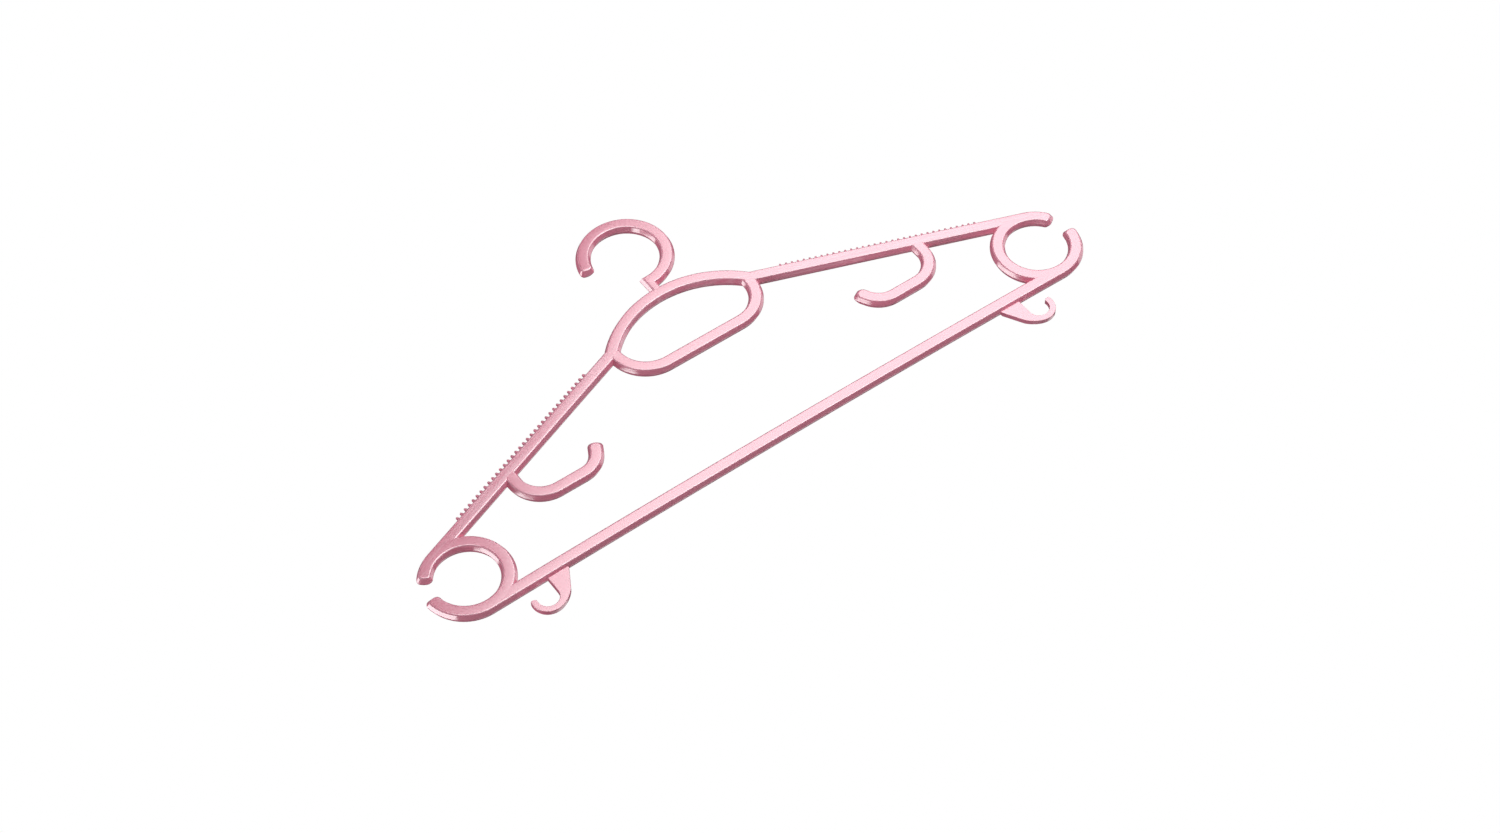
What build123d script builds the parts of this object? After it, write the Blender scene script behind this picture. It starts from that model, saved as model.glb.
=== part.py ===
from build123d import *
from math import atan2, cos, degrees, radians, sin
import os

os.makedirs("parts", exist_ok=True)

# Scarf hanger, one plastic moulding, split at its roots into members that meet face to face.
# X runs along the hanger, Z up towards the rail, and the front face looks along -Y.
# The parting plane of the moulding is Y = 0, and the origin is the centre of the hook's bow.
# Heights named *_height are measured from the level of the end rings' centres.

# Section of every main member: a flat face front and back, sides drafted to a wider waist
thickness = 6.0
face_half_width = 2.95
waist_half_width = 4.17
parting_land = 0.6
edge_radius = 1.0

# Post and scarf hooks lie this far under the faces of the members that they branch from
branch_relief = 0.005

# Hook over the rail
hook_radius = 23.1
hook_tip_angle = 173.0

# Post between the arch and the hook, with a flat face this wide to each side
post_length = 10.3
post_half_width = 2.1

# Centre loop: half its width at the base, how far past that the arch meets the arm,
# and how far the arch rises above, and the base lies below, that meeting point
loop_half_width = 44.0
arch_overhang = 1.125
arch_rise = 20.25
loop_depth = 22.08
loop_corner_share = 0.906

# End rings, open towards the ends of the hanger
ring_spacing = 369.1
ring_radius = 21.4
ring_upper_tip_angle = 31.5
ring_lower_tip_angle = -5.0

# Arms from the centre loop to the top of each ring
arm_angle = 20.9

# Grip nubs along the top side of each arm
nub_count = 34
nub_pitch = 3.37
nub_width = 1.6
nub_depth = 2.6
nub_rise = 1.9
nub_round = 0.6
nub_root = 1.2
nub_first_gap = 19.0

# Bottom bar between the rings
bar_bow = 1.6
bar_end_inset = 1.5

# Scarf hooks under the arms
scarf_stem_distance = 132.9
scarf_base_height = 19.15
scarf_bend_radius = 16.4
scarf_tip_radius = 14.0
scarf_flat_length = 15.7
scarf_tip_turn = 62.0
scarf_tip_length = 5.4

# Small thin hooks under the bar, beside the rings
small_thickness = 3.1
small_setback = 2.0
small_root_distance = 139.8
small_root_width = 12.3
small_stem_length = 12.6
small_curl_inner_radius = 5.9
small_curl_width = 3.4
small_tip_angle = 19.0
small_heel_drop = 11.2
small_heel_run = 6.3
small_heel_bulge_share = 0.2
small_toe_side_angle = -41.0
small_heel_side_angle = -135.0

# Derived sizes
half_thickness = thickness / 2
half_land = parting_land / 2
draft_reach = waist_half_width - face_half_width
overrun = waist_half_width + thickness
ring_distance = ring_spacing / 2
arm_sin = sin(radians(arm_angle))
arm_cos = cos(radians(arm_angle))
arm_offset = ring_distance * arm_sin + ring_radius
bar_bow_radius = (ring_distance ** 2 + bar_bow ** 2) / (2 * bar_bow) - ring_radius
bar_centre_height = bar_bow - ring_radius - bar_bow_radius


def arm_height(distance):
    """Height of an arm's centre line at a distance from the middle of the hanger."""
    return (arm_offset - distance * arm_sin) / arm_cos


junction_distance = loop_half_width + arch_overhang
junction_height = arm_height(junction_distance)
arch_top_height = junction_height + arch_rise
arch_radius = (junction_distance ** 2 + arch_rise ** 2) / (2 * arch_rise)
arch_centre_height = arch_top_height - arch_radius
loop_base_height = junction_height - loop_depth
loop_corner_radius = loop_corner_share * (arm_height(loop_half_width) - loop_base_height)
hook_height = arch_top_height + post_length + hook_radius


def at(x, height):
    """Point on the parting plane at a height above the rings' level."""
    return Vector(x, 0, height - hook_height)


def member_section(face_half=face_half_width, relief=0):
    """Section across a member: width along local X, thickness along local Y."""
    waist_half = face_half + draft_reach
    half_depth = half_thickness - relief
    outline = Polygon(
        (face_half, -half_depth),
        (waist_half, -half_land),
        (waist_half, half_land),
        (face_half, half_depth),
        (-face_half, half_depth),
        (-waist_half, half_land),
        (-waist_half, -half_land),
        (-face_half, -half_depth),
        align=None,
    )
    corners = [corner for corner in outline.vertices() if abs(corner.Y) > parting_land]
    return fillet(corners, edge_radius)


def straight_member(start, end, section):
    """Member with a straight centre line."""
    run = end - start
    side = Vector(-run.Z, 0, run.X)
    return extrude(Plane(start, x_dir=side, z_dir=run) * section, amount=run.length)


def round_member(centre, radius, from_angle, to_angle, section):
    """Member with an arc for its centre line, angles from +X towards +Z."""
    start = radians(from_angle)
    outward = Vector(cos(start), 0, sin(start))
    tangent = Vector(-sin(start), 0, cos(start))
    seat = Plane(centre + outward * radius, x_dir=outward, z_dir=tangent)
    return revolve(seat * section, Axis(centre, (0, -1, 0)), to_angle - from_angle)


def end_cutter(end, direction, section):
    """Everything past a free end, whose end wall is drafted and rounded like a side wall."""
    outward = direction.normalized()
    side = Vector(-outward.Z, 0, outward.X)
    seat = Plane(end - outward * face_half_width, x_dir=outward, z_dir=side)
    reach = Pos(overrun / 2, 0) * Rectangle(overrun, 2 * overrun) - section
    return extrude(seat * reach, amount=overrun, both=True)


def point_on(centre, radius, angle):
    """Point of an arc's centre line."""
    turn = radians(angle)
    return centre + Vector(cos(turn), 0, sin(turn)) * radius


def tangent_on(angle):
    """Direction of an arc's centre line, for growing angles."""
    turn = radians(angle)
    return Vector(-sin(turn), 0, cos(turn))


def angle_of(length, radius):
    """Angle of an arc that is this long."""
    return degrees(length / radius)


main_section = member_section()

# Hook: a heel flush with the post, then the bow over the right side and the top to its free tip
hook_centre = at(0, hook_height)
heel_end = at(-post_half_width, hook_height - hook_radius)
heel_full = straight_member(heel_end - Vector(draft_reach, 0, 0), at(0, hook_height - hook_radius),
                            main_section)
hook_heel = heel_full - end_cutter(heel_end, Vector(-1, 0, 0), main_section)
hook_full = hook_heel + round_member(hook_centre, hook_radius, -90,
                                     hook_tip_angle + angle_of(draft_reach, hook_radius),
                                     main_section)
hook = hook_full - end_cutter(point_on(hook_centre, hook_radius, hook_tip_angle),
                              tangent_on(hook_tip_angle), main_section)

# Arms, full length from the arch's end to the crown of each ring
arm_start = at(junction_distance, junction_height)
crown_distance = ring_distance + ring_radius * arm_sin
arm_end = at(crown_distance, arm_height(crown_distance))
ring_centre = at(ring_distance, 0)

ring_full = round_member(ring_centre, ring_radius,
                         ring_upper_tip_angle - angle_of(draft_reach, ring_radius),
                         360 + ring_lower_tip_angle + angle_of(draft_reach, ring_radius),
                         main_section)
ring_full -= end_cutter(point_on(ring_centre, ring_radius, ring_upper_tip_angle),
                        -tangent_on(ring_upper_tip_angle), main_section)
right_end_ring = ring_full - end_cutter(point_on(ring_centre, ring_radius, ring_lower_tip_angle),
                                        tangent_on(ring_lower_tip_angle), main_section)

right_arm = straight_member(arm_start, arm_end, main_section) - right_end_ring

# Arch of the centre loop, between the arms
arch_centre = at(0, arch_centre_height)
arch_end_angle = degrees(atan2(junction_height - arch_centre_height, junction_distance))
loop_arch = round_member(arch_centre, arch_radius, arch_end_angle, 180 - arch_end_angle, main_section)
left_arm = mirror(right_arm, Plane.YZ)
loop_arch = loop_arch - right_arm - left_arm

# Base of the centre loop with its two corners, up to the arms
corner_centre = at(loop_half_width - loop_corner_radius, loop_base_height + loop_corner_radius)
base_start = at(0, loop_base_height)
base_end = at(loop_half_width - loop_corner_radius, loop_base_height)
right_half = straight_member(base_start, base_end, main_section)
right_half += round_member(corner_centre, loop_corner_radius, -90, 0, main_section)
right_half += straight_member(at(loop_half_width, loop_base_height + loop_corner_radius),
                              at(loop_half_width, junction_height), main_section)
right_half = right_half - right_arm - loop_arch
loop_base = right_half + mirror(right_half, Plane.YZ)

# Post between the arch and the hook
post_bottom = arch_top_height
post_top = hook_height - hook_radius
post_section = member_section(post_half_width, branch_relief)
neck_post = straight_member(at(0, post_bottom), at(0, post_top), post_section)
neck_post = neck_post - loop_arch - hook

# Bottom bar, a slight upward bow that runs into the foot of each ring without a kink
left_end_ring = mirror(right_end_ring, Plane.YZ)
bar_centre = at(0, bar_centre_height)
bar_half_angle = degrees(atan2(ring_distance, -bar_centre_height))
bar_half_angle -= angle_of(bar_end_inset, bar_bow_radius)
bar_full = round_member(bar_centre, bar_bow_radius, 90 - bar_half_angle, 90 + bar_half_angle, main_section)
bottom_bar = bar_full - right_end_ring - left_end_ring

# Scarf hook under the right arm: stem, bend, flat, turned-up tip
stem_top = at(scarf_stem_distance, arm_height(scarf_stem_distance))
stem_foot = at(scarf_stem_distance, scarf_base_height + scarf_bend_radius)
bend_centre = at(scarf_stem_distance - scarf_bend_radius, scarf_base_height + scarf_bend_radius)
flat_start_distance = scarf_stem_distance - scarf_bend_radius
flat_end_distance = flat_start_distance - scarf_flat_length
tip_centre = at(flat_end_distance, scarf_base_height + scarf_tip_radius)
tip_angle = -90 - scarf_tip_turn
tip_start = point_on(tip_centre, scarf_tip_radius, tip_angle)
tip_direction = -tangent_on(tip_angle)
tip_end = tip_start + tip_direction * scarf_tip_length

scarf_section = member_section(relief=branch_relief)
scarf_hook = straight_member(stem_foot, stem_top, scarf_section) - right_arm
scarf_hook += round_member(bend_centre, scarf_bend_radius, -90, 0, scarf_section)
scarf_hook += straight_member(at(flat_start_distance, scarf_base_height),
                              at(flat_end_distance, scarf_base_height), scarf_section)
scarf_hook += round_member(tip_centre, scarf_tip_radius, tip_angle, -90, scarf_section)
scarf_hook += straight_member(tip_start, tip_end + tip_direction * draft_reach, scarf_section)
right_scarf_hook = scarf_hook - end_cutter(tip_end, tip_direction, scarf_section)


def grip_nubs():
    """Row of small rounded nubs, standing on the top side of the right arm."""
    lift = waist_half_width + nub_rise
    height = nub_rise + nub_root
    nubs = []
    for index in range(nub_count):
        along = nub_first_gap + index * nub_pitch
        foot = arm_start + Vector(arm_cos, 0, -arm_sin) * along
        seat = Plane(foot, x_dir=(arm_cos, 0, -arm_sin), z_dir=(arm_sin, 0, arm_cos))
        block = Pos(0, 0, lift - height / 2) * Box(nub_width, nub_depth, height)
        top_edges = block.faces().sort_by(Axis.Z)[-1].edges()
        block = fillet(top_edges, nub_round)
        nubs.append(seat * block - right_arm)
    return nubs


right_nubs = grip_nubs()
right_grip_nubs = Compound(children=right_nubs)


def small_hook():
    """Thin curled hook under the right end of the bar, cut from flat stock."""
    front = small_setback - half_thickness
    inner_x = small_root_distance + small_root_width
    curl_x = inner_x + small_curl_inner_radius
    outer_radius = small_curl_inner_radius + small_curl_width
    root_height = -ring_radius
    curl_top = root_height - small_stem_length

    def spot(x, height):
        return Vector(x, front, height - hook_height)

    def curl_spot(radius, angle):
        turn = radians(angle)
        return spot(curl_x + radius * cos(turn), curl_top + radius * sin(turn))

    root_corner = spot(small_root_distance, root_height)
    shoulder_height = root_height - waist_half_width
    shoulder = spot(small_root_distance, shoulder_height)
    heel = spot(small_root_distance + small_heel_run, shoulder_height - small_heel_drop)
    toe = small_tip_angle
    tip_turn = degrees(small_curl_width / (2 * small_curl_inner_radius + small_curl_width))
    middle_radius = small_curl_inner_radius + small_curl_width / 2
    edges = [
        Line(spot(inner_x, root_height), spot(inner_x, curl_top)),
        ThreePointArc(spot(inner_x, curl_top), curl_spot(small_curl_inner_radius, -90),
                      curl_spot(small_curl_inner_radius, toe)),
        ThreePointArc(curl_spot(small_curl_inner_radius, toe), curl_spot(middle_radius, toe + tip_turn),
                      curl_spot(outer_radius, toe)),
        ThreePointArc(curl_spot(outer_radius, toe), curl_spot(outer_radius, small_toe_side_angle),
                      curl_spot(outer_radius, -90)),
        ThreePointArc(curl_spot(outer_radius, -90),
                      curl_spot(outer_radius + small_heel_bulge_share * small_curl_width,
                                small_heel_side_angle), heel),
        Line(heel, shoulder),
        Line(shoulder, root_corner),
        Line(root_corner, spot(inner_x, root_height)),
    ]
    face = Face(Wire(edges))
    return extrude(face, amount=small_thickness, dir=(0, 1, 0))


right_small_hook = small_hook() - bar_full - right_end_ring

# The left side mirrors the right
left_scarf_hook = mirror(right_scarf_hook, Plane.YZ)
left_nubs = [mirror(nub, Plane.YZ) for nub in right_nubs]
left_grip_nubs = Compound(children=left_nubs)
left_small_hook = mirror(right_small_hook, Plane.YZ)

nodes = {
    "hook": hook,
    "neck_post": neck_post,
    "loop_arch": loop_arch,
    "loop_base": loop_base,
    "left_arm": left_arm,
    "right_arm": right_arm,
    "left_grip_nubs": left_grip_nubs,
    "right_grip_nubs": right_grip_nubs,
    "left_scarf_hook": left_scarf_hook,
    "right_scarf_hook": right_scarf_hook,
    "left_end_ring": left_end_ring,
    "right_end_ring": right_end_ring,
    "bottom_bar": bottom_bar,
    "left_small_hook": left_small_hook,
    "right_small_hook": right_small_hook,
}
for name, shape in nodes.items():
    export_step(shape, f"parts/{name}.step")
    box = shape.bounding_box()
    print(name, round(shape.volume, 1), box.min, box.max)
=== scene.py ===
# %% [markdown]
# # A moulded plastic scarf hanger
#
# The real object is one injection moulding in pearly pink plastic: a hook, a centre loop, two
# sloping arms with grip nubs, scarf hooks, open end rings, and a bar with two small hooks.
# It could be drawn as one flat outline and thickened, but then no member could be taken up by
# itself. So each member is modelled on its own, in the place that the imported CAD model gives
# it, and ends face to face with its neighbours.

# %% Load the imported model
from math import atan2, cos, pi, radians, sin

import bmesh
import bpy
from mathutils import Matrix, Vector


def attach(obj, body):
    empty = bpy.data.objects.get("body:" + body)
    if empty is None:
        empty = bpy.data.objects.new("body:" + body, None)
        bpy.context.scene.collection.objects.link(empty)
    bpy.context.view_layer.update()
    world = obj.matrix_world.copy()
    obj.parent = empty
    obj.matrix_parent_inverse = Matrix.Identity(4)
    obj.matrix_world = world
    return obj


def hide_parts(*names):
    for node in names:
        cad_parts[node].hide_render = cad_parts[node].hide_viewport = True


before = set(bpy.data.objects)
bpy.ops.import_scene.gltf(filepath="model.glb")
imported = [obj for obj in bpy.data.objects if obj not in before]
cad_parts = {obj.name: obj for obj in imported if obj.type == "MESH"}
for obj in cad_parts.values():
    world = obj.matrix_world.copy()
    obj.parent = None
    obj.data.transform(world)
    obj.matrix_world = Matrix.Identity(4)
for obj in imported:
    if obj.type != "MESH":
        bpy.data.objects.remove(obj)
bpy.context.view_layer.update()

# %% [markdown]
# ## One section for all members
#
# A mould has two halves, and the part has to leave both. Its sides therefore fall away from
# flat faces in front and behind to a wider waist on the parting plane, which gives a drafted
# six-sided section. Blender works in metres, so a millimetre is a name of its own here.

# %% The drafted section
MM = 0.001
HALF_THICKNESS = 3.0 * MM
HALF_LAND = 0.3 * MM
FACE_HALF = 2.95 * MM
WAIST_HALF = 4.17 * MM
DRAFT_REACH = WAIST_HALF - FACE_HALF
print("section", 2 * WAIST_HALF / MM, "by", 2 * HALF_THICKNESS / MM, "mm")

# %% [markdown]
# ## The lines that the members follow
#
# The hanger hangs by its hook, so the hook's centre is the origin. A drawing office would
# measure from the level of the end rings instead, because both arms aim at them. The helpers
# below turn such heights and angles into points, so that each piece can be written down the
# way it would be drawn.

# %% Heights above the rings
RING_DISTANCE = 184.55 * MM
RING_RADIUS = 21.4 * MM
ARM_ANGLE = radians(20.9)
LOOP_HALF_WIDTH = 44.0 * MM
ARCH_OVERHANG = 1.125 * MM
ARCH_RISE = 20.25 * MM
LOOP_DEPTH = 22.08 * MM
POST_LENGTH = 10.3 * MM
HOOK_RADIUS = 23.1 * MM
ARM_OFFSET = RING_DISTANCE * sin(ARM_ANGLE) + RING_RADIUS


def arm_height(distance):
    """Height of an arm's centre line at a distance from the middle."""
    return (ARM_OFFSET - distance * sin(ARM_ANGLE)) / cos(ARM_ANGLE)


JUNCTION = LOOP_HALF_WIDTH + ARCH_OVERHANG
JUNCTION_HEIGHT = arm_height(JUNCTION)
ARCH_TOP = JUNCTION_HEIGHT + ARCH_RISE
BASE_HEIGHT = JUNCTION_HEIGHT - LOOP_DEPTH
HOOK_HEIGHT = ARCH_TOP + POST_LENGTH + HOOK_RADIUS
print("hook centre above the rings", round(HOOK_HEIGHT / MM, 2), "mm")


# %% Points on the hanger's plane
def at(x, height):
    """Point on the parting plane, from its height above the rings' level."""
    return Vector((x, 0, height - HOOK_HEIGHT))


def around(centre, radius, angle):
    """Point on a circle in the hanger's plane, angle from +X towards +Z."""
    return centre + radius * Vector((cos(angle), 0, sin(angle)))


hook_centre = at(0, HOOK_HEIGHT)
ring_centre = at(RING_DISTANCE, 0)
print("right ring's centre", [round(value / MM, 1) for value in ring_centre])

# %% [markdown]
# ## Picking parts of a mesh
#
# By hand one would click on the edges to round or the corners to move. A script picks them by
# what they are: where they lie, or which way they face. Blender's operators act on all that is
# selected, and the CAD nodes are selected after loading, so everything is deselected first.

# %% Picking by place
def clear_selection():
    bpy.ops.object.select_all(action="DESELECT")


def pick(piece, kind, test):
    """In edit mode, selects the vertices, edges or faces that pass a test."""
    bpy.ops.mesh.select_mode(type=kind)
    bpy.ops.mesh.select_all(action="DESELECT")
    mesh = bmesh.from_edit_mesh(piece.data)
    mesh.normal_update()
    parts = {"VERT": mesh.verts, "EDGE": mesh.edges, "FACE": mesh.faces}[kind]
    for part in parts:
        if test(part):
            part.select_set(True)
    mesh.select_flush_mode()
    bmesh.update_edit_mesh(piece.data)


clear_selection()
print("selected", len(bpy.context.selected_objects))

# %% [markdown]
# ## Carrying the section along a path
#
# A member of even section could be a curve with a bevel, but its ends and corners would then
# be hard to shape. Here a grid of three rows is stood across the path, and its rows are scaled
# into the drafted section. Extrude carries it along a straight, and spin carries it round an
# arc. The relief makes a branch a hair thinner than what it grows from, so that no two faces
# lie in one plane where they are cut to fit.

# %% Starting, going straight and going round
BRANCH_RELIEF = 0.005 * MM
GRID_HALF = 3 * MM


def place_section(name, place, heading, face_half=FACE_HALF, relief=0.0):
    """Stands the drafted section at a place, facing along a heading (from +X towards +Z)."""
    clear_selection()
    bpy.ops.mesh.primitive_grid_add(x_subdivisions=1, y_subdivisions=3, size=2 * GRID_HALF,
                                    location=place, rotation=(0, pi / 2 - heading, 0))
    piece = bpy.context.object
    piece.name = name
    bpy.ops.object.transform_apply(location=True, rotation=True, scale=True)
    bpy.ops.object.mode_set(mode="EDIT")
    outer_row = (face_half, HALF_THICKNESS - relief, GRID_HALF)
    inner_row = (face_half + DRAFT_REACH, HALF_LAND, GRID_HALF / 3)
    for across, deep, row in (outer_row, inner_row):
        pick(piece, "VERT", lambda v: abs(abs(v.co.y) - row) < GRID_HALF / 4)
        bpy.ops.transform.resize(value=(across / GRID_HALF, deep / row, across / GRID_HALF),
                                 center_override=place)
    bpy.ops.mesh.select_mode(type="FACE")
    bpy.ops.mesh.select_all(action="SELECT")
    return piece


def go_straight(run):
    """Carries the selected end along a straight."""
    bpy.ops.mesh.extrude_region_move(TRANSFORM_OT_translate={"value": run})


def go_round(centre, angle, steps):
    """Carries the selected end round a centre, angle from +X towards +Z."""
    bpy.ops.mesh.spin(steps=steps, angle=angle, center=centre, axis=(0, 1, 0))


print("relief per branch", BRANCH_RELIEF / MM, "mm")

# %% [markdown]
# ## Free ends and soft edges
#
# The free ends are drafted too, so their waist is pushed outwards, and on the tips that cloth
# slides over a little further than on the sides. Their upright corners get a large rounding.
# The long edges between faces and sides get a small one, which is what catches the light on a
# real moulding. Bevel does both, once its edges are picked.

# %% Drafted ends
TIP_REACH = DRAFT_REACH + 0.4 * MM
END_DEPTH = 0.05 * MM
MERGE_BELOW = 0.002 * MM


def draft_end(piece, end, heading, reach=TIP_REACH):
    """Pushes the waist of a free end outwards, so that the end is drafted like the sides."""
    along = Vector((cos(heading), 0, sin(heading)))
    pick(piece, "VERT", lambda v: abs((v.co - end).dot(along)) < END_DEPTH
         and abs(v.co.y) < HALF_THICKNESS / 2 and (v.co - end).length < 2 * WAIST_HALF)
    bpy.ops.transform.translate(value=along * reach)


def close_up(piece):
    """Merges doubles and turns all faces outwards."""
    bpy.ops.mesh.select_mode(type="VERT")
    bpy.ops.mesh.select_all(action="SELECT")
    bpy.ops.mesh.remove_doubles(threshold=MERGE_BELOW)
    bpy.ops.mesh.select_all(action="SELECT")
    bpy.ops.mesh.normals_make_consistent(inside=False)


# %% Rounded edges
EDGE_BEVEL = 0.65 * MM
TIP_CORNER = 2.5 * MM
TIP_WITHIN = 1.8 * WAIST_HALF
SHARP_TURN = radians(60)


def is_rim(edge):
    """True for an edge between a flat face and a side."""
    if len(edge.link_faces) != 2:
        return False
    leans = sorted(abs(face.normal.y) for face in edge.link_faces)
    return leans[1] > 0.95 and leans[0] < 0.8


def is_tip_corner(edge):
    """True for an upright edge between a side and an end."""
    if len(edge.link_faces) != 2:
        return False
    one, other = (Vector((face.normal.x, face.normal.z)) for face in edge.link_faces)
    if min(one.length, other.length) < 0.5:
        return False
    return one.angle(other) > SHARP_TURN


def soften(piece, tips=(), corner=TIP_CORNER, edge=EDGE_BEVEL):
    """Closes the mesh and rounds the corners of its free tips, then its long edges."""
    close_up(piece)
    for tip in tips:
        pick(piece, "EDGE", lambda e: is_tip_corner(e)
             and all((v.co - tip).length < TIP_WITHIN for v in e.verts))
        bpy.ops.mesh.bevel(offset=corner, offset_type="OFFSET", segments=5, profile=0.5,
                           affect="EDGES")
        close_up(piece)
    pick(piece, "EDGE", is_rim)
    bpy.ops.mesh.bevel(offset=edge, offset_type="OFFSET", segments=4, profile=0.5,
                       affect="EDGES")
    bpy.ops.object.mode_set(mode="OBJECT")
    print(piece.name, "has", len(piece.data.polygons), "faces")


# %% [markdown]
# ## Face to face, and left to right
#
# Two members that meet could simply overlap, but then neither would be a clean part. A Boolean
# modifier cuts the neighbour out of each branch, so they touch along one shared face. The left
# side repeats the right, so it is a copy with a mesh of its own, scaled by -1 across the
# middle. That turns its faces inside out, so its normals are made consistent again.

# %% Cutting and mirroring
def cut(piece, *others):
    """Cuts other members out of a piece, so that they meet face to face."""
    clear_selection()
    piece.select_set(True)
    bpy.context.view_layer.objects.active = piece
    for other in others:
        joint = piece.modifiers.new("joint", "BOOLEAN")
        joint.operation = "DIFFERENCE"
        joint.solver = "EXACT"
        joint.object = other
        bpy.ops.object.modifier_apply(modifier=joint.name)


def mirrored(piece, name):
    """A copy with its own mesh on the other side of the hanger."""
    clear_selection()
    piece.select_set(True)
    bpy.context.view_layer.objects.active = piece
    bpy.ops.object.duplicate(linked=False)
    copy = bpy.context.object
    copy.name = name
    bpy.ops.object.mode_set(mode="EDIT")
    bpy.ops.mesh.select_all(action="SELECT")
    bpy.ops.transform.resize(value=(-1, 1, 1), center_override=(0, 0, 0))
    bpy.ops.mesh.normals_make_consistent(inside=False)
    bpy.ops.object.mode_set(mode="OBJECT")
    return copy


# %% [markdown]
# ## The hook
#
# It hangs over the wardrobe rail and is open on the left. Its centre line is an arc of 263
# degrees with a short straight heel past the post. A torus with a piece cut out would give a
# round section, so the drafted section is spun instead, in small steps that stay smooth close
# up.

# %% The hook over the rail
HOOK_TIP = radians(173.0)
POST_HALF = 2.1 * MM
hook_heel = at(-POST_HALF, HOOK_HEIGHT - HOOK_RADIUS)
hook_tip = around(hook_centre, HOOK_RADIUS, HOOK_TIP)
hook = place_section("hook_moulded", hook_heel, 0.0)
go_straight(Vector((POST_HALF, 0, 0)))
go_round(hook_centre, HOOK_TIP + pi / 2, 72)
draft_end(hook, hook_tip, HOOK_TIP + pi / 2)
draft_end(hook, hook_heel, pi, DRAFT_REACH)
soften(hook, [hook_tip])

# %% [markdown]
# ## The end rings
#
# A rolled scarf or a belt slips into each ring through its gap at the outer side. The arm
# leaves the ring at its crown and the bar at its foot, so the spin stops there on its way:
# the rings' facets then line up with what joins them.

# %% Open rings
RING_UPPER_TIP = radians(31.5)
RING_LOWER_TIP = radians(-5.0)
crown = pi / 2 - ARM_ANGLE
upper_tip = around(ring_centre, RING_RADIUS, RING_UPPER_TIP)
lower_tip = around(ring_centre, RING_RADIUS, RING_LOWER_TIP)
right_ring = place_section("right_end_ring_moulded", upper_tip, RING_UPPER_TIP + pi / 2)
go_round(ring_centre, crown - RING_UPPER_TIP, 8)
go_round(ring_centre, 1.5 * pi - crown, 42)
go_round(ring_centre, pi / 2 + RING_LOWER_TIP, 18)
draft_end(right_ring, upper_tip, RING_UPPER_TIP - pi / 2)
draft_end(right_ring, lower_tip, RING_LOWER_TIP + pi / 2)
soften(right_ring, [upper_tip, lower_tip])
left_ring = mirrored(right_ring, "left_end_ring_moulded")

# %% [markdown]
# ## The arms
#
# The two straight arms slope down to the rings like a person's shoulders. Each is one extrude
# from the centre loop to the ring's crown, where the ring is cut out of it.

# %% Sloping arms
arm_start = at(JUNCTION, JUNCTION_HEIGHT)
arm_end = around(ring_centre, RING_RADIUS, crown)
right_arm = place_section("right_arm_moulded", arm_start, -ARM_ANGLE, FACE_HALF, BRANCH_RELIEF)
go_straight(arm_end - arm_start)
soften(right_arm)
cut(right_arm, right_ring)
left_arm = mirrored(right_arm, "left_arm_moulded")

# %% [markdown]
# ## The centre loop
#
# A scarf can be passed through the loop in the middle. Its upper side is one flat arch from
# arm to arm, and its lower side is a straight with two round corners. Both are paths for the
# same section: the arch is a single spin, and the base is straights and spins by turns. The
# arch runs on a little way into the arms before they are cut out of it. If both stopped at one
# point, their rounded ends would leave a small pit between them.

# %% Upper arch
ARCH_RADIUS = (JUNCTION ** 2 + ARCH_RISE ** 2) / (2 * ARCH_RISE)
arch_centre = at(0, ARCH_TOP - ARCH_RADIUS)
arch_end = atan2(JUNCTION_HEIGHT - ARCH_TOP + ARCH_RADIUS, JUNCTION)
RUN_ON = 3.0 * MM
arch_way = Vector((-sin(arch_end), 0, cos(arch_end)))
arch = place_section("loop_arch_moulded", arm_start - RUN_ON * arch_way, arch_end + pi / 2,
                     FACE_HALF, 2 * BRANCH_RELIEF)
go_straight(RUN_ON * arch_way)
go_round(arch_centre, pi - 2 * arch_end, 32)
go_straight(RUN_ON * Vector((arch_way.x, 0, -arch_way.z)))
soften(arch)
cut(arch, right_arm, left_arm)

# %% Lower straight with two round corners
LOOP_CORNER_SHARE = 0.906
CORNER_RADIUS = LOOP_CORNER_SHARE * (arm_height(LOOP_HALF_WIDTH) - BASE_HEIGHT)
corner_x = LOOP_HALF_WIDTH - CORNER_RADIUS
side_length = JUNCTION_HEIGHT - BASE_HEIGHT - CORNER_RADIUS
loop_base = place_section("loop_base_moulded", at(-LOOP_HALF_WIDTH, JUNCTION_HEIGHT), -pi / 2,
                          FACE_HALF, 3 * BRANCH_RELIEF)
go_straight(Vector((0, 0, -side_length)))
go_round(at(-corner_x, BASE_HEIGHT + CORNER_RADIUS), pi / 2, 20)
go_straight(Vector((2 * corner_x, 0, 0)))
go_round(at(corner_x, BASE_HEIGHT + CORNER_RADIUS), pi / 2, 20)
go_straight(Vector((0, 0, side_length)))
soften(loop_base)
cut(loop_base, right_arm, left_arm, arch)

# %% [markdown]
# ## The post under the hook
#
# A short post joins the hook's heel to the top of the arch. It is narrower than the members
# it joins, so the section gets its own width here. Its left side carries on the heel's end, so
# the post is a hair narrower too: two sides in one plane would leave slivers when one is cut
# out of the other.

# %% Neck post
post = place_section("neck_post_moulded", at(0, ARCH_TOP), pi / 2,
                     POST_HALF - 2 * BRANCH_RELIEF, 3 * BRANCH_RELIEF)
go_straight(Vector((0, 0, POST_LENGTH)))
soften(post)
cut(post, arch, hook)

# %% [markdown]
# ## The bottom bar
#
# The bar between the rings looks straight, but its middle stands 1.6 mm higher than its ends.
# It leaves each ring along the ring's own direction, so its great circle runs through both
# feet. An uncut copy is kept for a while, to fit the small hooks to.

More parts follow.
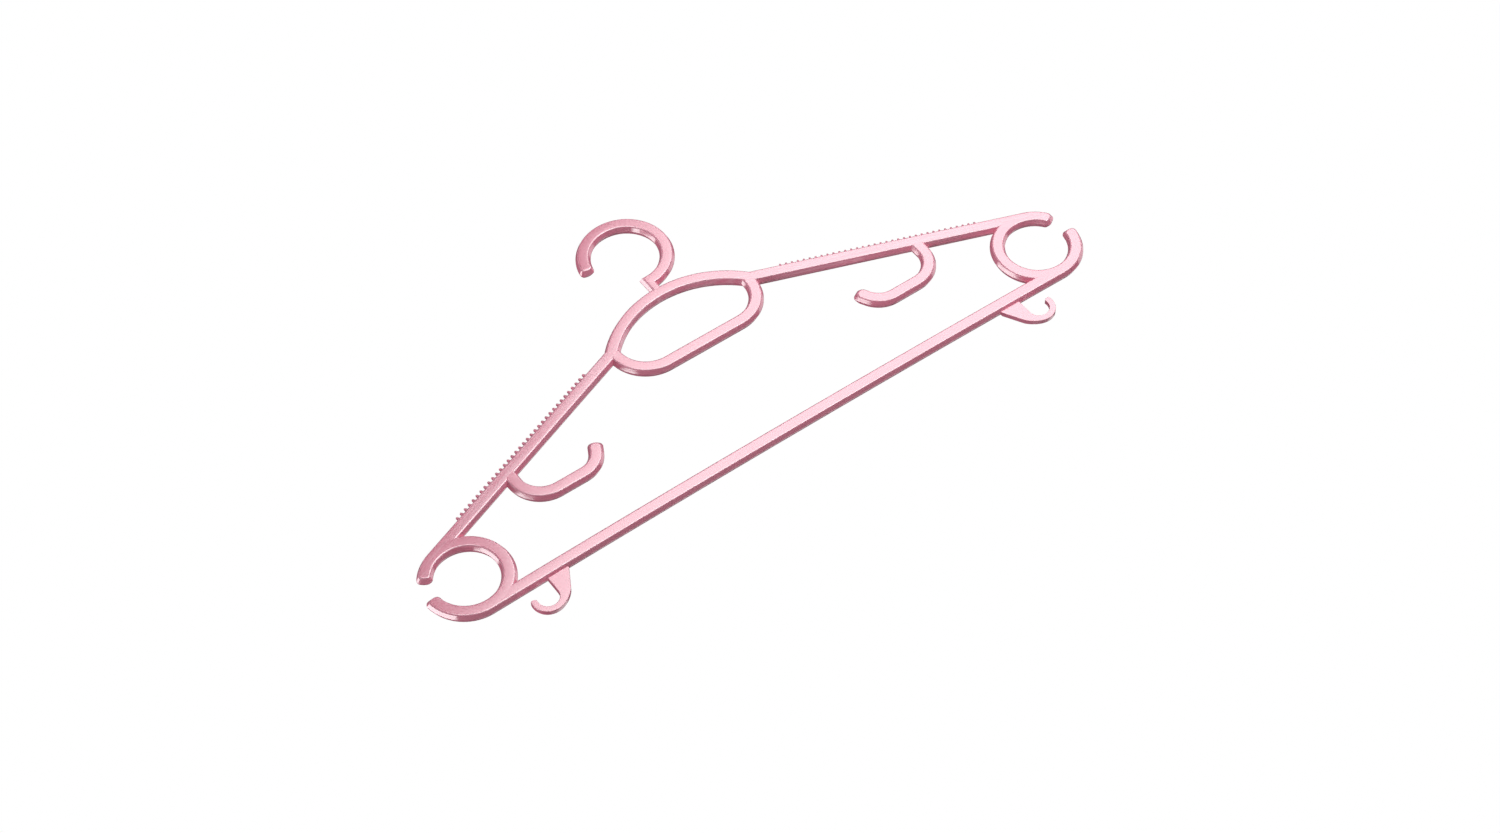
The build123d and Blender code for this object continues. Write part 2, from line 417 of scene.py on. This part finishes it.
# %% Slightly bowed bar
BAR_BOW = 1.6 * MM
BAR_END_INSET = 1.5 * MM
bar_radius = (RING_DISTANCE ** 2 + BAR_BOW ** 2) / (2 * BAR_BOW) - RING_RADIUS
bar_centre = at(0, BAR_BOW - RING_RADIUS - bar_radius)
bar_half = atan2(RING_DISTANCE, RING_RADIUS + bar_radius - BAR_BOW) - BAR_END_INSET / bar_radius
bar = place_section("bottom_bar_moulded", around(bar_centre, bar_radius, pi / 2 - bar_half),
                    pi - bar_half, FACE_HALF, BRANCH_RELIEF)
go_round(bar_centre, 2 * bar_half, 24)
soften(bar)
whole_bar = mirrored(bar, "whole_bar")
cut(bar, right_ring, left_ring)

# %% [markdown]
# ## The scarf hooks
#
# From each arm a hook hangs down, turns towards the middle, and rises again to a blunt tip.
# That is four runs of the same section: a stem, a bend, a level seat and a rising lip.

# %% Scarf hooks under the arms
SCARF_STEM = 132.9 * MM
SCARF_BASE = 19.15 * MM
SCARF_BEND = 16.4 * MM
SCARF_FLAT = 15.7 * MM
SCARF_TIP_RADIUS = 14.0 * MM
SCARF_TIP_TURN = radians(62.0)
SCARF_TIP_LENGTH = 5.4 * MM
stem_top = at(SCARF_STEM, arm_height(SCARF_STEM))
bend_height = SCARF_BASE + SCARF_BEND
scarf_hook = place_section("right_scarf_hook_moulded", stem_top, -pi / 2, FACE_HALF,
                           2 * BRANCH_RELIEF)
go_straight(Vector((0, 0, bend_height - arm_height(SCARF_STEM))))
go_round(at(SCARF_STEM - SCARF_BEND, bend_height), -pi / 2, 16)
go_straight(Vector((-SCARF_FLAT, 0, 0)))
lip_centre = at(SCARF_STEM - SCARF_BEND - SCARF_FLAT, SCARF_BASE + SCARF_TIP_RADIUS)
lip_angle = -pi / 2 - SCARF_TIP_TURN
lip_way = Vector((sin(lip_angle), 0, -cos(lip_angle)))
go_round(lip_centre, -SCARF_TIP_TURN, 12)
go_straight(lip_way * SCARF_TIP_LENGTH)
scarf_tip = around(lip_centre, SCARF_TIP_RADIUS, lip_angle) + lip_way * SCARF_TIP_LENGTH
draft_end(scarf_hook, scarf_tip, atan2(lip_way.z, lip_way.x))
soften(scarf_hook, [scarf_tip])
cut(scarf_hook, right_arm)
left_scarf_hook = mirrored(scarf_hook, "left_scarf_hook_moulded")

# %% [markdown]
# ## The grip nubs
#
# A row of small nubs on the top side of each arm keeps thin scarves and straps from sliding
# off. One nub is a cube with its crest drawn in and rounded, and an Array modifier repeats it
# down the arm. The row is cut to the arm's side in one go.

# %% One nub
NUB_PITCH = 3.37 * MM
NUB_WIDTH = 1.6 * MM
NUB_DEPTH = 2.6 * MM
NUB_RISE = 1.9 * MM
NUB_ROUND = 0.3 * MM
NUB_ROOT = 1.2 * MM
NUB_TAPER = (0.5, 0.35, 0.5)
NUB_FIRST_GAP = 19.0 * MM
nub_height = NUB_RISE + NUB_ROOT
arm_way = Vector((cos(ARM_ANGLE), 0, -sin(ARM_ANGLE)))
arm_up = Vector((sin(ARM_ANGLE), 0, cos(ARM_ANGLE)))
nub_crest = arm_start + NUB_FIRST_GAP * arm_way + (WAIST_HALF + NUB_RISE) * arm_up
clear_selection()
bpy.ops.mesh.primitive_cube_add(size=1, location=nub_crest - arm_up * nub_height / 2,
                                rotation=(0, ARM_ANGLE, 0),
                                scale=(NUB_WIDTH, NUB_DEPTH, nub_height))
nubs = bpy.context.object
nubs.name = "right_grip_nubs_moulded"
bpy.ops.object.transform_apply(location=True, rotation=True, scale=True)


def on_crest(vertex):
    return abs((vertex.co - nub_crest).dot(arm_up)) < 0.01 * MM


bpy.ops.object.mode_set(mode="EDIT")
pick(nubs, "VERT", on_crest)
bpy.ops.transform.resize(value=NUB_TAPER, center_override=nub_crest)
pick(nubs, "EDGE", lambda e: all(on_crest(v) for v in e.verts))
bpy.ops.mesh.bevel(offset=NUB_ROUND, segments=4, profile=0.5, affect="EDGES")
bpy.ops.object.mode_set(mode="OBJECT")
print("one nub has", len(nubs.data.polygons), "faces")

# %% The whole row
NUB_COUNT = 34
row = nubs.modifiers.new("row", "ARRAY")
row.count = NUB_COUNT
row.use_relative_offset = False
row.use_constant_offset = True
row.constant_offset_displace = arm_way * NUB_PITCH
bpy.ops.object.modifier_apply(modifier=row.name)
cut(nubs, right_arm)
left_nubs = mirrored(nubs, "left_grip_nubs_moulded")

# %% [markdown]
# ## The small hooks
#
# Under the bar two thinner hooks open outwards, for loops and straps. Each is a web that
# narrows down to a heel, and then a curl of even width. The curl is made step by step: spin
# the end a little, then draw it in about its inner corner, which stays on the inner circle.

# %% Small hooks under the bar
SMALL_FRONT = 1.0 * MM
SMALL_BACK = 2.1 * MM
SMALL_OUTER = 139.8 * MM
SMALL_INNER = 152.1 * MM
SMALL_WEB = 7.56 * MM
SMALL_HEEL = 6.3 * MM
SMALL_WIDTH = 3.4 * MM
SMALL_CURL = 5.9 * MM
SMALL_CENTRE_HEIGHT = -34.0 * MM
SMALL_HEEL_TURN = 13.0
SMALL_FOOT_TURN = 90.0
SMALL_TIP_TURN = 199.0
SMALL_CORNER = 0.46 * SMALL_WIDTH
SMALL_BEVEL = 0.35 * MM
NARROWING_STEPS = 11
small_centre = at(SMALL_INNER + SMALL_CURL, SMALL_CENTRE_HEIGHT)


def curl_width(turn):
    """Width of the curl after a turn in degrees: it thins quickly after the heel."""
    left = max(0.0, (SMALL_FOOT_TURN - turn) / (SMALL_FOOT_TURN - SMALL_HEEL_TURN))
    return SMALL_WIDTH + (SMALL_HEEL - SMALL_WIDTH) * left ** 2.7


def draw_in(share, turn):
    """Narrows the selected end about its corner on the inner circle."""
    corner = around(small_centre, SMALL_CURL, pi + radians(turn))
    bpy.ops.transform.resize(value=(share, 1, share), center_override=corner)


root_middle = at((SMALL_OUTER + SMALL_INNER) / 2, -RING_RADIUS)
root_middle.y = (SMALL_BACK - SMALL_FRONT) / 2
clear_selection()
bpy.ops.mesh.primitive_grid_add(x_subdivisions=1, y_subdivisions=1, size=1,
                                location=root_middle)
small_hook = bpy.context.object
small_hook.name = "right_small_hook_moulded"
small_hook.scale = (SMALL_INNER - SMALL_OUTER, SMALL_BACK + SMALL_FRONT, 1)
bpy.ops.object.transform_apply(location=True, rotation=True, scale=True)
bpy.ops.object.mode_set(mode="EDIT")
bpy.ops.mesh.select_all(action="SELECT")
go_straight(Vector((0, 0, -WAIST_HALF)))
go_straight(Vector((0, 0, SMALL_CENTRE_HEIGHT + RING_RADIUS + WAIST_HALF)))
draw_in(SMALL_WEB / (SMALL_INNER - SMALL_OUTER), 0.0)
go_round(small_centre, radians(SMALL_HEEL_TURN), 1)
draw_in(SMALL_HEEL / SMALL_WEB, SMALL_HEEL_TURN)
narrowing_turn = (SMALL_FOOT_TURN - SMALL_HEEL_TURN) / NARROWING_STEPS
for step in range(NARROWING_STEPS):
    before, after = (SMALL_HEEL_TURN + narrowing_turn * count for count in (step, step + 1))
    go_round(small_centre, radians(after - before), 1)
    draw_in(curl_width(after) / curl_width(before), after)
go_round(small_centre, radians(SMALL_TIP_TURN - SMALL_FOOT_TURN), 16)
small_tip = around(small_centre, SMALL_CURL + SMALL_WIDTH / 2, pi + radians(SMALL_TIP_TURN))
soften(small_hook, [small_tip], corner=SMALL_CORNER, edge=SMALL_BEVEL)
cut(small_hook, whole_bar, right_ring)
left_small_hook = mirrored(small_hook, "left_small_hook_moulded")
bpy.data.objects.remove(whole_bar)

# %% [markdown]
# ## Each piece stands for its CAD node
#
# Smooth shading is wanted round the arcs and the rounded edges, and a crisp line where flat
# faces meet, so faces are smoothed only where they turn by less than 21 degrees. Weighted
# normals then keep the large flat faces flat right up to their rounded edges. Every piece
# rides on the hanger's only body and hides the CAD node that it stands for.

# %% Shading and bodies
SMOOTH_BELOW = radians(21)
pieces = {"hook": hook, "neck_post": post, "loop_arch": arch, "loop_base": loop_base,
          "right_arm": right_arm, "left_arm": left_arm,
          "right_grip_nubs": nubs, "left_grip_nubs": left_nubs,
          "right_scarf_hook": scarf_hook, "left_scarf_hook": left_scarf_hook,
          "right_end_ring": right_ring, "left_end_ring": left_ring, "bottom_bar": bar,
          "right_small_hook": small_hook, "left_small_hook": left_small_hook}
for node, piece in pieces.items():
    clear_selection()
    piece.select_set(True)
    bpy.context.view_layer.objects.active = piece
    bpy.ops.object.shade_smooth_by_angle(angle=SMOOTH_BELOW)
    even = piece.modifiers.new("even shading", "WEIGHTED_NORMAL")
    even.keep_sharp = True
    bpy.ops.object.modifier_apply(modifier=even.name)
    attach(piece, "root")
    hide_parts(node)
print(len(pieces), "pieces,", sum(len(piece.data.polygons) for piece in pieces.values()), "faces")

# %% [markdown]
# ## Writing a material as sums
#
# A finish is a net of nodes, and dozens of Math nodes are hard to read. The small class below
# wraps one socket, so that masks can be added, multiplied and taken from 1 in plain Python,
# and each sum adds its Math node. All other nodes come from its one method.

# %% A socket that takes part in sums
class Wire:
    """One output socket of a material, which can be used in sums."""

    def __init__(self, socket):
        self.socket = socket

    def node(self, kind, settings, inputs, output=0):
        """Adds a node: its settings first, then values or wires for its sockets."""
        tree = self.socket.id_data
        made = tree.nodes.new(kind)
        for name, value in settings.items():
            setattr(made, name, value)
        for name, value in inputs.items():
            if isinstance(value, Wire):
                tree.links.new(value.socket, made.inputs[name])
            else:
                made.inputs[name].default_value = value
        return Wire(made.outputs[output])

    def sum(self, operation, first, second):
        return self.node("ShaderNodeMath", {"operation": operation}, {0: first, 1: second})

    def __add__(self, other):
        return self.sum("ADD", self, other)

    def __radd__(self, other):
        return self.sum("ADD", other, self)

    def __sub__(self, other):
        return self.sum("SUBTRACT", self, other)

    def __rsub__(self, other):
        return self.sum("SUBTRACT", other, self)

    def __mul__(self, other):
        return self.sum("MULTIPLY", self, other)

    def __rmul__(self, other):
        return self.sum("MULTIPLY", other, self)

    def __abs__(self):
        return self.sum("ABSOLUTE", self, 0.0)

    def rise(self, low, high):
        """0 below low, 1 above high, and a smooth slope between them."""
        return self.node("ShaderNodeMapRange", {"interpolation_type": "SMOOTHSTEP"},
                         {"Value": self, "From Min": low, "From Max": high})

    def cloud(self, scale, detail, stretch=(1, 1, 1)):
        """Soft noise on this position, stretched along its axes."""
        moved = self.node("ShaderNodeMapping", {"vector_type": "POINT"},
                          {"Vector": self, "Scale": stretch})
        return self.node("ShaderNodeTexNoise", {}, {"Vector": moved, "Scale": scale,
                                                    "Detail": detail, "Roughness": 0.5})

    def blend(self, first, second):
        """Mixes two colours by this mask."""
        return self.node("ShaderNodeMix", {"data_type": "RGBA"},
                         {"Factor": self, 6: first, 7: second}, output=2)


pink = bpy.data.materials.new("pink_plastic_finish")
pink.use_nodes = True
nodes = pink.node_tree.nodes
coordinates = nodes.new("ShaderNodeTexCoord")
place = Wire(coordinates.outputs["Object"])
facing = Wire(coordinates.outputs["Normal"])
print("material", pink.name)

# %% [markdown]
# ## Pearly pink plastic
#
# The real plastic is a full pink with a white, pearly sheen. Close up its colour drifts a
# little from place to place, and faint streaks run down the arms, as the melt flowed when the
# mould was filled. The rounded edges are painted paler, as a painted highlight for the bright
# lines that light draws along them, and a fine witness line runs round the waist, where the two
# halves of the mould met. An image
# could hold all this, but it would need unwrapping. Masks on the object's own coordinates fit
# every piece at once.

# %% Masks: drift, streaks, the rounded edges for a painted highlight, and the parting line
ARM_SHARE = sin(ARM_ANGLE) / cos(ARM_ANGLE)
x, y, z = (place.node("ShaderNodeSeparateXYZ", {}, {"Vector": place}, output=axis)
           for axis in range(3))
lean = abs(facing.node("ShaderNodeSeparateXYZ", {}, {"Vector": facing}, output=1))
drift = place.cloud(26.0, 3.0)
below_arm = abs(x) * ARM_SHARE + z - (ARM_OFFSET / cos(ARM_ANGLE) - HOOK_HEIGHT)
on_arm = 1 - abs(below_arm).rise(3.6 * MM, 5.2 * MM)
side_on = place.node("ShaderNodeCombineXYZ", {}, {"X": abs(x), "Y": y, "Z": below_arm})
streaks = side_on.cloud(1.0, 2.0, (30, 500, 900)).rise(0.42, 0.66) * on_arm
# The rounded edges: a paler pink is painted on them as a highlight, and their roughness rises a
# little.
edges = lean.rise(0.66, 0.76) * (1 - lean.rise(0.90, 0.995))
parting = 1 - abs(y).rise(0.05 * MM, 0.16 * MM)
grain = place.cloud(1400.0, 2.0)
print("streaks slope", round(ARM_SHARE, 3), "down the arms")

# %% Colour
FULL_PINK = (0.84, 0.235, 0.35, 1)
SOFT_PINK = (0.86, 0.265, 0.38, 1)
# This pale pink serves the flow streaks and the painted highlight on the rounded edges.
STREAK_AND_HIGHLIGHT_PINK = (0.94, 0.56, 0.66, 1)
WITNESS_PINK = (0.66, 0.22, 0.32, 1)
body = drift.rise(0.30, 0.70).blend(FULL_PINK, SOFT_PINK)
streaked = (streaks * 0.35).blend(body, STREAK_AND_HIGHLIGHT_PINK)
# Painted highlight: the rounded edges are blended towards the pale pink, in place of the bright
# lines that light draws there.
edge_highlighted = (edges * (0.35 + drift * 0.5)).blend(streaked, STREAK_AND_HIGHLIGHT_PINK)
colour = (parting * 0.30).blend(edge_highlighted, WITNESS_PINK)
print("full pink", FULL_PINK[:3])

# %% [markdown]
# ## Gloss and relief
#
# A polished mould gives a satin gloss, so the roughness is low, a little higher where hands
# and rails rub the edges, and on the streaks. The pearl in the pigment is made of tiny plates,
# which mirror more of the room than clear plastic would, so the index of refraction is set
# higher than plastic's usual 1.45. The relief is tiny: a grain like orange peel, the streaks,
# and a thin bead along the parting line. A Bump node fakes it, which is enough for heights of
# a hundredth of a millimetre.

# %% Gloss, relief and the shader
GLOSS = 0.15
PEARL_IOR = 1.98
roughness = GLOSS + drift * 0.05 + edges * 0.04 + streaks * 0.04
relief = grain * 0.02 + streaks * 0.05 + parting * 2.0
bumped = relief.node("ShaderNodeBump", {}, {"Height": relief, "Strength": 0.5,
                                            "Distance": 0.01 * MM})
shader = nodes["Principled BSDF"]
shader.inputs["Specular IOR Level"].default_value = 1.0
shader.inputs["IOR"].default_value = PEARL_IOR
for wire, socket in ((colour, "Base Color"), (roughness, "Roughness"), (bumped, "Normal")):
    pink.node_tree.links.new(wire.socket, shader.inputs[socket])
for piece in pieces.values():
    piece.data.materials.clear()
    piece.data.materials.append(pink)
print("nodes in the finish", len(nodes))

# %% [markdown]
# ## The floor
#
# The photograph looks up at the hanger from below, as at something that hangs from a rail. So
# the floor lies far below, where it belongs in a room. It is out of the picture from here, but
# it sends soft light back up to the undersides, and it is there for every other view. A pale
# floor sends back more light than the deep pink undersides of the photograph show, so only the
# camera sees it pale, with a little glow for the corners that no lamp reaches. The Light Path
# node tells the camera's rays from all others.

# %% Pale floor
FLOOR_HEIGHT = -1.9
FLOOR_SIZE = 60
SEEN_GREY = (0.80, 0.80, 0.80, 1)
SEEN_GLOW = (0.42, 0.42, 0.42, 1)
BOUNCE_GREY = (0.24, 0.24, 0.24, 1)
clear_selection()
bpy.ops.mesh.primitive_plane_add(size=FLOOR_SIZE, location=(0, 0, FLOOR_HEIGHT))
floor = bpy.context.object
floor.name = "floor"
bpy.ops.object.transform_apply(location=True, rotation=True, scale=True)
pale = bpy.data.materials.new("pale_floor")
pale.use_nodes = True
paint = pale.node_tree.nodes["Principled BSDF"]
paint.inputs["Roughness"].default_value = 0.9
seen = Wire(pale.node_tree.nodes.new("ShaderNodeLightPath").outputs["Is Camera Ray"])
shade = seen.blend(BOUNCE_GREY, SEEN_GREY)
glow = seen.blend((0, 0, 0, 1), SEEN_GLOW)
pale.node_tree.links.new(shade.socket, paint.inputs["Base Color"])
pale.node_tree.links.new(glow.socket, paint.inputs["Emission Color"])
paint.inputs["Emission Strength"].default_value = 1.0
floor.data.materials.append(pale)
print("floor at", FLOOR_HEIGHT, "m")

# %% [markdown]
# ## The room
#
# A gloss surface shows what stands round it. The room is one even dark grey, so that each
# lamp's reflection ends on the plastic where the lamp ends, and the sides that no lamp reaches
# stay a deep pink. The camera alone sees plain white instead, which is the background of the
# photograph.

# %% World
ROOM = 0.08
world = bpy.data.worlds.new("studio")
bpy.context.scene.world = world
world.use_nodes = True
room = world.node_tree.nodes["Background"]
room.inputs["Color"].default_value = (ROOM, ROOM, ROOM, 1)
seen = Wire(world.node_tree.nodes.new("ShaderNodeLightPath").outputs["Is Camera Ray"])
white = seen.node("ShaderNodeBackground", {}, {"Color": (1, 1, 1, 1)})
both = seen.node("ShaderNodeMixShader", {}, {0: seen, 1: Wire(room.outputs[0]), 2: white})
world.node_tree.links.new(both.socket, world.node_tree.nodes["World Output"].inputs["Surface"])
print("room grey", ROOM)

# %% [markdown]
# ## Soft lamps
#
# The photograph has one large soft light in front and to the right. Its reflection fills the
# faces on the right, and ends on the left arm and the left side of the hook. A strip low in
# front draws the thin bright lines along the lower edges, a lamp on the left draws the bright
# sides there, and a weak one on the right lifts the outer curves. The last one stands behind
# the hanger, for whoever walks round it. A sun would give points of light on the gloss, so all
# five are area lamps, and each is set by how bright it looks, not by its power.

# %% Five soft boxes
def soft_box(name, middle, across, faces, size, brightness):
    """A rectangular lamp: its middle, the way its long side runs, the way it shines, its size."""
    clear_selection()
    bpy.ops.object.light_add(type="AREA", location=middle)
    lamp = bpy.context.object
    lamp.name = name
    lamp.data.shape = "RECTANGLE"
    lamp.data.size, lamp.data.size_y = size
    lamp.data.energy = brightness * pi * size[0] * size[1]
    long_side = Vector(across).normalized()
    back = -Vector(faces).normalized()
    short_side = back.cross(long_side).normalized()
    axes = Matrix((short_side.cross(back), short_side, back)).transposed()
    lamp.rotation_euler = axes.to_euler()
    print(name, "lamp at", round(lamp.data.energy, 1), "W")


soft_box("key", (0.968, -1.5, 0.088), (0.7675, 0, 0.641), (0, 1, 0), (2.3, 2.0), 2.45)
soft_box("strip", (0.62, -1.45, -0.86), (1, 0, 0), (0, 1, 0), (1.4, 0.4), 2.4)
soft_box("left", (-2.2, 0.45, 0.15), (0, 0, 1), (1, 0, 0), (3.3, 1.4), 3.0)
soft_box("right", (1.5, 0.6, -0.2), (0, 0, 1), (-1, 0, 0), (1.0, 1.0), 0.9)
soft_box("back", (0.9, 2.0, -0.85), (1, 0, 0), (-0.3, -1, 0.35), (3.2, 1.2), 1.2)

# %% [markdown]
# ## The camera
#
# The camera was found by fitting the rings, the hook and the bar to the photograph. It stands
# low on the left and looks up. The three vectors are its own axes: to its right, upwards, and
# back towards the viewer.

# %% Camera
RIGHT = Vector((0.810616, 0.021480, -0.585184))
UP = Vector((0.471037, -0.617612, 0.629826))
TOWARD = Vector((-0.347888, -0.786190, -0.510764))
clear_selection()
bpy.ops.object.camera_add(location=(-0.5245, -1.16274, -0.88637))
camera = bpy.context.object
camera.rotation_euler = Matrix((RIGHT, UP, TOWARD)).transposed().to_euler()
camera.data.lens = 67.75
camera.data.sensor_width = 36.0
bpy.context.scene.camera = camera
bpy.context.scene.view_settings.view_transform = "Standard"
print("camera with a lens of", camera.data.lens, "mm")
